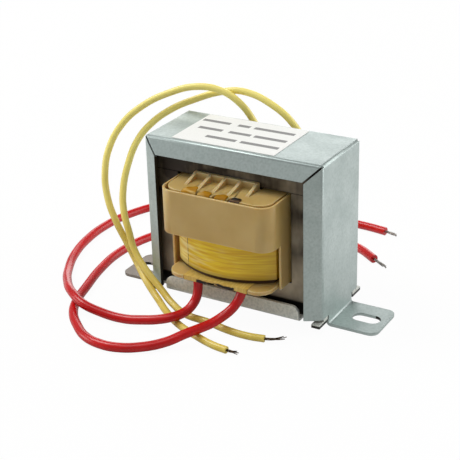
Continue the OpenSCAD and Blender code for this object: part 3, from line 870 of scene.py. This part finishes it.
# Middle, half width, rise to the right, material and row heights of each tab, in millimetres.
TABS = [
    (-6.9, 2.1, 0.45, aged_tape, [33.9, 34.8, 35.2, 35.5, 35.6]),
    (-2.7, 1.7, 0.1, aged_tape, [33.9, 34.7, 35.05, 35.2, 35.15]),
    (1.9, 1.6, 0.1, aged_tape, [33.9, 34.7, 35.05, 35.2, 35.15]),
    (5.8, 1.4, 0.0, copper, [33.9, 34.6, 34.95, 35.05, 35.0]),
]
# Thickness, crown and waviness of a tab in millimetres, and its points across.
TAB_FILM = 0.12
TAB_CROWN = 0.25
TAB_WAVE = 0.1
TAB_COLUMNS = 5


def film_tab(name, middle_x, half_width, tilt, material, heights):
    """End of the tape or of a wire, turned up over the edge of the top flange: a thin crowned film, with a
    slight waviness that differs from tab to tab."""
    columns = TAB_COLUMNS
    last_row = len(TAB_DEPTHS) - 1
    places = []
    for row, (depth, height) in enumerate(zip(TAB_DEPTHS, heights)):
        for column in range(columns):
            side = column / (columns - 1) * 2 - 1
            crown = TAB_CROWN * (1 - side * side)
            wave = TAB_WAVE * math.sin(2.3 * column + 1.7 * row + middle_x)
            rise = (crown + wave + tilt * side) * row / last_row
            places.append((middle_x + side * half_width, depth, height + rise))
    faces = []
    for row in range(last_row):
        for column in range(columns - 1):
            corner = row * columns + column
            faces.append((corner, corner + 1, corner + columns + 1, corner + columns))
    mesh = bpy.data.meshes.new(name)
    mesh.from_pydata([[c * MM for c in place] for place in places], [], faces)
    mesh.polygons.foreach_set("use_smooth", [True] * len(faces))
    made = new_piece(name, mesh, material)
    smooth = made.modifiers.new("smooth", "SUBSURF")
    smooth.levels = 2
    smooth.render_levels = 2
    thick = made.modifiers.new("thickness", "SOLIDIFY")
    thick.thickness = TAB_FILM * MM
    return made


for number, (middle_x, half_width, tilt, material, heights) in enumerate(TABS, 1):
    tab = film_tab("tape_tab_%d" % number, middle_x, half_width, tilt, material, heights)
    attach(tab, "root")


# Edges

# Edge radius of each moulded or sheared piece, in millimetres.
EDGES = {"bobbin": 0.12, "cover": 0.2, "frame": 0.08, "base_plate": 0.08}
# Faces that meet at a greater angle have an edge to soften, once points closer than the gap are joined.
EDGE_ANGLE = math.radians(40)
WELD_GAP = 0.001
for name, radius in EDGES.items():
    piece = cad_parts[name]
    weld = piece.modifiers.new("weld", "WELD")
    weld.merge_threshold = WELD_GAP * MM
    bevel = piece.modifiers.new("edge", "BEVEL")
    bevel.width = radius * MM
    bevel.segments = 2
    bevel.limit_method = "ANGLE"
    bevel.angle_limit = EDGE_ANGLE
    bevel.harden_normals = True
    bevel.use_clamp_overlap = False


# Floor, light and camera

# Half the table's width in metres, and the share of plain white that the eye sees on it.
TABLE_HALF = 3.0
TABLE_WHITE = 0.94
# Light that the room gives from all sides, where white is 1.
ROOM_LIGHT = 0.32


def pale_table():
    """Seamless pale table: white to the eye, and it keeps the object's soft shadow. Metal sees a share of
    that white."""
    made, tree = new_material("pale_table")
    path = add(tree, "ShaderNodeLightPath")
    # In metal the rear of the table shows brighter than its front.
    place = add(tree, "ShaderNodeNewGeometry").outputs["Position"]
    depth = add(tree, "ShaderNodeSeparateXYZ", {"Vector": place}).outputs["Y"]
    far = add(
        tree,
        "ShaderNodeMapRange",
        {"Value": depth, "From Min": -45 * MM, "From Max": 45 * MM},
    )
    mirrored = add(
        tree,
        "ShaderNodeMath",
        {0: path.outputs["Is Glossy Ray"], 1: far.outputs["Result"]},
        operation="MULTIPLY",
    )
    share = add(
        tree,
        "ShaderNodeMath",
        {0: path.outputs["Is Camera Ray"], 1: TABLE_WHITE, 2: mirrored.outputs["Value"]},
        operation="MULTIPLY_ADD",
    )
    matt = add(tree, "ShaderNodeBsdfDiffuse", {"Color": linear("#CACAC8")})
    glow = add(tree, "ShaderNodeEmission", {"Color": (1, 1, 1, 1), "Strength": 1.02})
    mixed = add(
        tree,
        "ShaderNodeMixShader",
        {"Fac": share.outputs["Value"], 1: matt.outputs["BSDF"], 2: glow.outputs["Emission"]},
    )
    add(tree, "ShaderNodeOutputMaterial", {"Surface": mixed.outputs["Shader"]})
    return made


mesh = bpy.data.meshes.new("table")
corners = [(x * TABLE_HALF, y * TABLE_HALF, 0) for x, y in ((-1, -1), (1, -1), (1, 1), (-1, 1))]
mesh.from_pydata(corners, [], [(0, 1, 2, 3)])
table = new_piece("table", mesh, pale_table())

# The room is white to the eye and a plain grey to the light.
world = bpy.data.worlds.new("studio")
bpy.context.scene.world = world
world.use_nodes = True
room = world.node_tree
room.nodes.clear()
seen = add(
    room,
    "ShaderNodeMath",
    {0: add(room, "ShaderNodeLightPath").outputs["Is Camera Ray"], 1: ROOM_LIGHT},
    operation="MAXIMUM",
)
sky = add(room, "ShaderNodeBackground", {"Color": (1, 1, 1, 1), "Strength": seen.outputs["Value"]})
add(room, "ShaderNodeOutputWorld", {"Surface": sky.outputs["Background"]})

# Name, place and side length in metres, and power in watts of each lamp.
LAMPS = [
    ("left_softbox", (-0.6, -0.1, 0.9), 0.5, 5.5),
    ("top_softbox", (0, -0.3, 1.05), 0.5, 1.8),
    ("low_left_softbox", (-0.9, -0.4, 0.15), 0.5, 2.5),
    ("right_softbox", (0.8, 0.62, 0.36), 1.0, 7.2),
    ("back_softbox", (-0.45, 0.85, 0.2), 0.6, 2.3),
]
LAMP_TARGET = Vector((0, 0, 20)) * MM


def softbox(name, place, size, power):
    """Square lamp turned to the object's middle."""
    light = bpy.data.lights.new(name, "AREA")
    light.shape = "SQUARE"
    light.size = size
    light.energy = power
    lamp = bpy.data.objects.new(name, light)
    bpy.context.scene.collection.objects.link(lamp)
    lamp.location = place
    lamp.rotation_euler = (LAMP_TARGET - Vector(place)).to_track_quat("-Z", "Y").to_euler()


for name, place, size, power in LAMPS:
    softbox(name, place, size, power)

# The camera stands to the right of the front and looks down on it, turned a little about its own axis.
# Its focal length is given in pixels of a picture 460 pixels wide.
TARGET = Vector((-6.87, 0, 17.02)) * MM
DISTANCE = 322.62 * MM
AZIMUTH = math.radians(30.68)
ELEVATION = math.radians(24.70)
ROLL = math.radians(-1.68)
FOCAL_PIXELS = 1244.69
PIXELS = 460
SENSOR_WIDTH = 36

level = math.cos(ELEVATION)
out = Vector((math.sin(AZIMUTH) * level, -math.cos(AZIMUTH) * level, math.sin(ELEVATION)))
right = Vector((math.cos(AZIMUTH), math.sin(AZIMUTH), 0))
up = out.cross(right)
turned_right = right * math.cos(ROLL) + up * math.sin(ROLL)
turned_up = up * math.cos(ROLL) - right * math.sin(ROLL)
camera_data = bpy.data.cameras.new("camera")
camera_data.sensor_width = SENSOR_WIDTH
camera_data.lens = FOCAL_PIXELS / PIXELS * SENSOR_WIDTH
camera_data.clip_start = 0.01
camera = bpy.data.objects.new("camera", camera_data)
bpy.context.scene.collection.objects.link(camera)
stance = Matrix((turned_right, turned_up, out)).transposed().to_4x4()
stance.translation = TARGET + out * DISTANCE
camera.matrix_world = stance
bpy.context.scene.camera = camera
bpy.context.scene.view_settings.view_transform = "Standard"
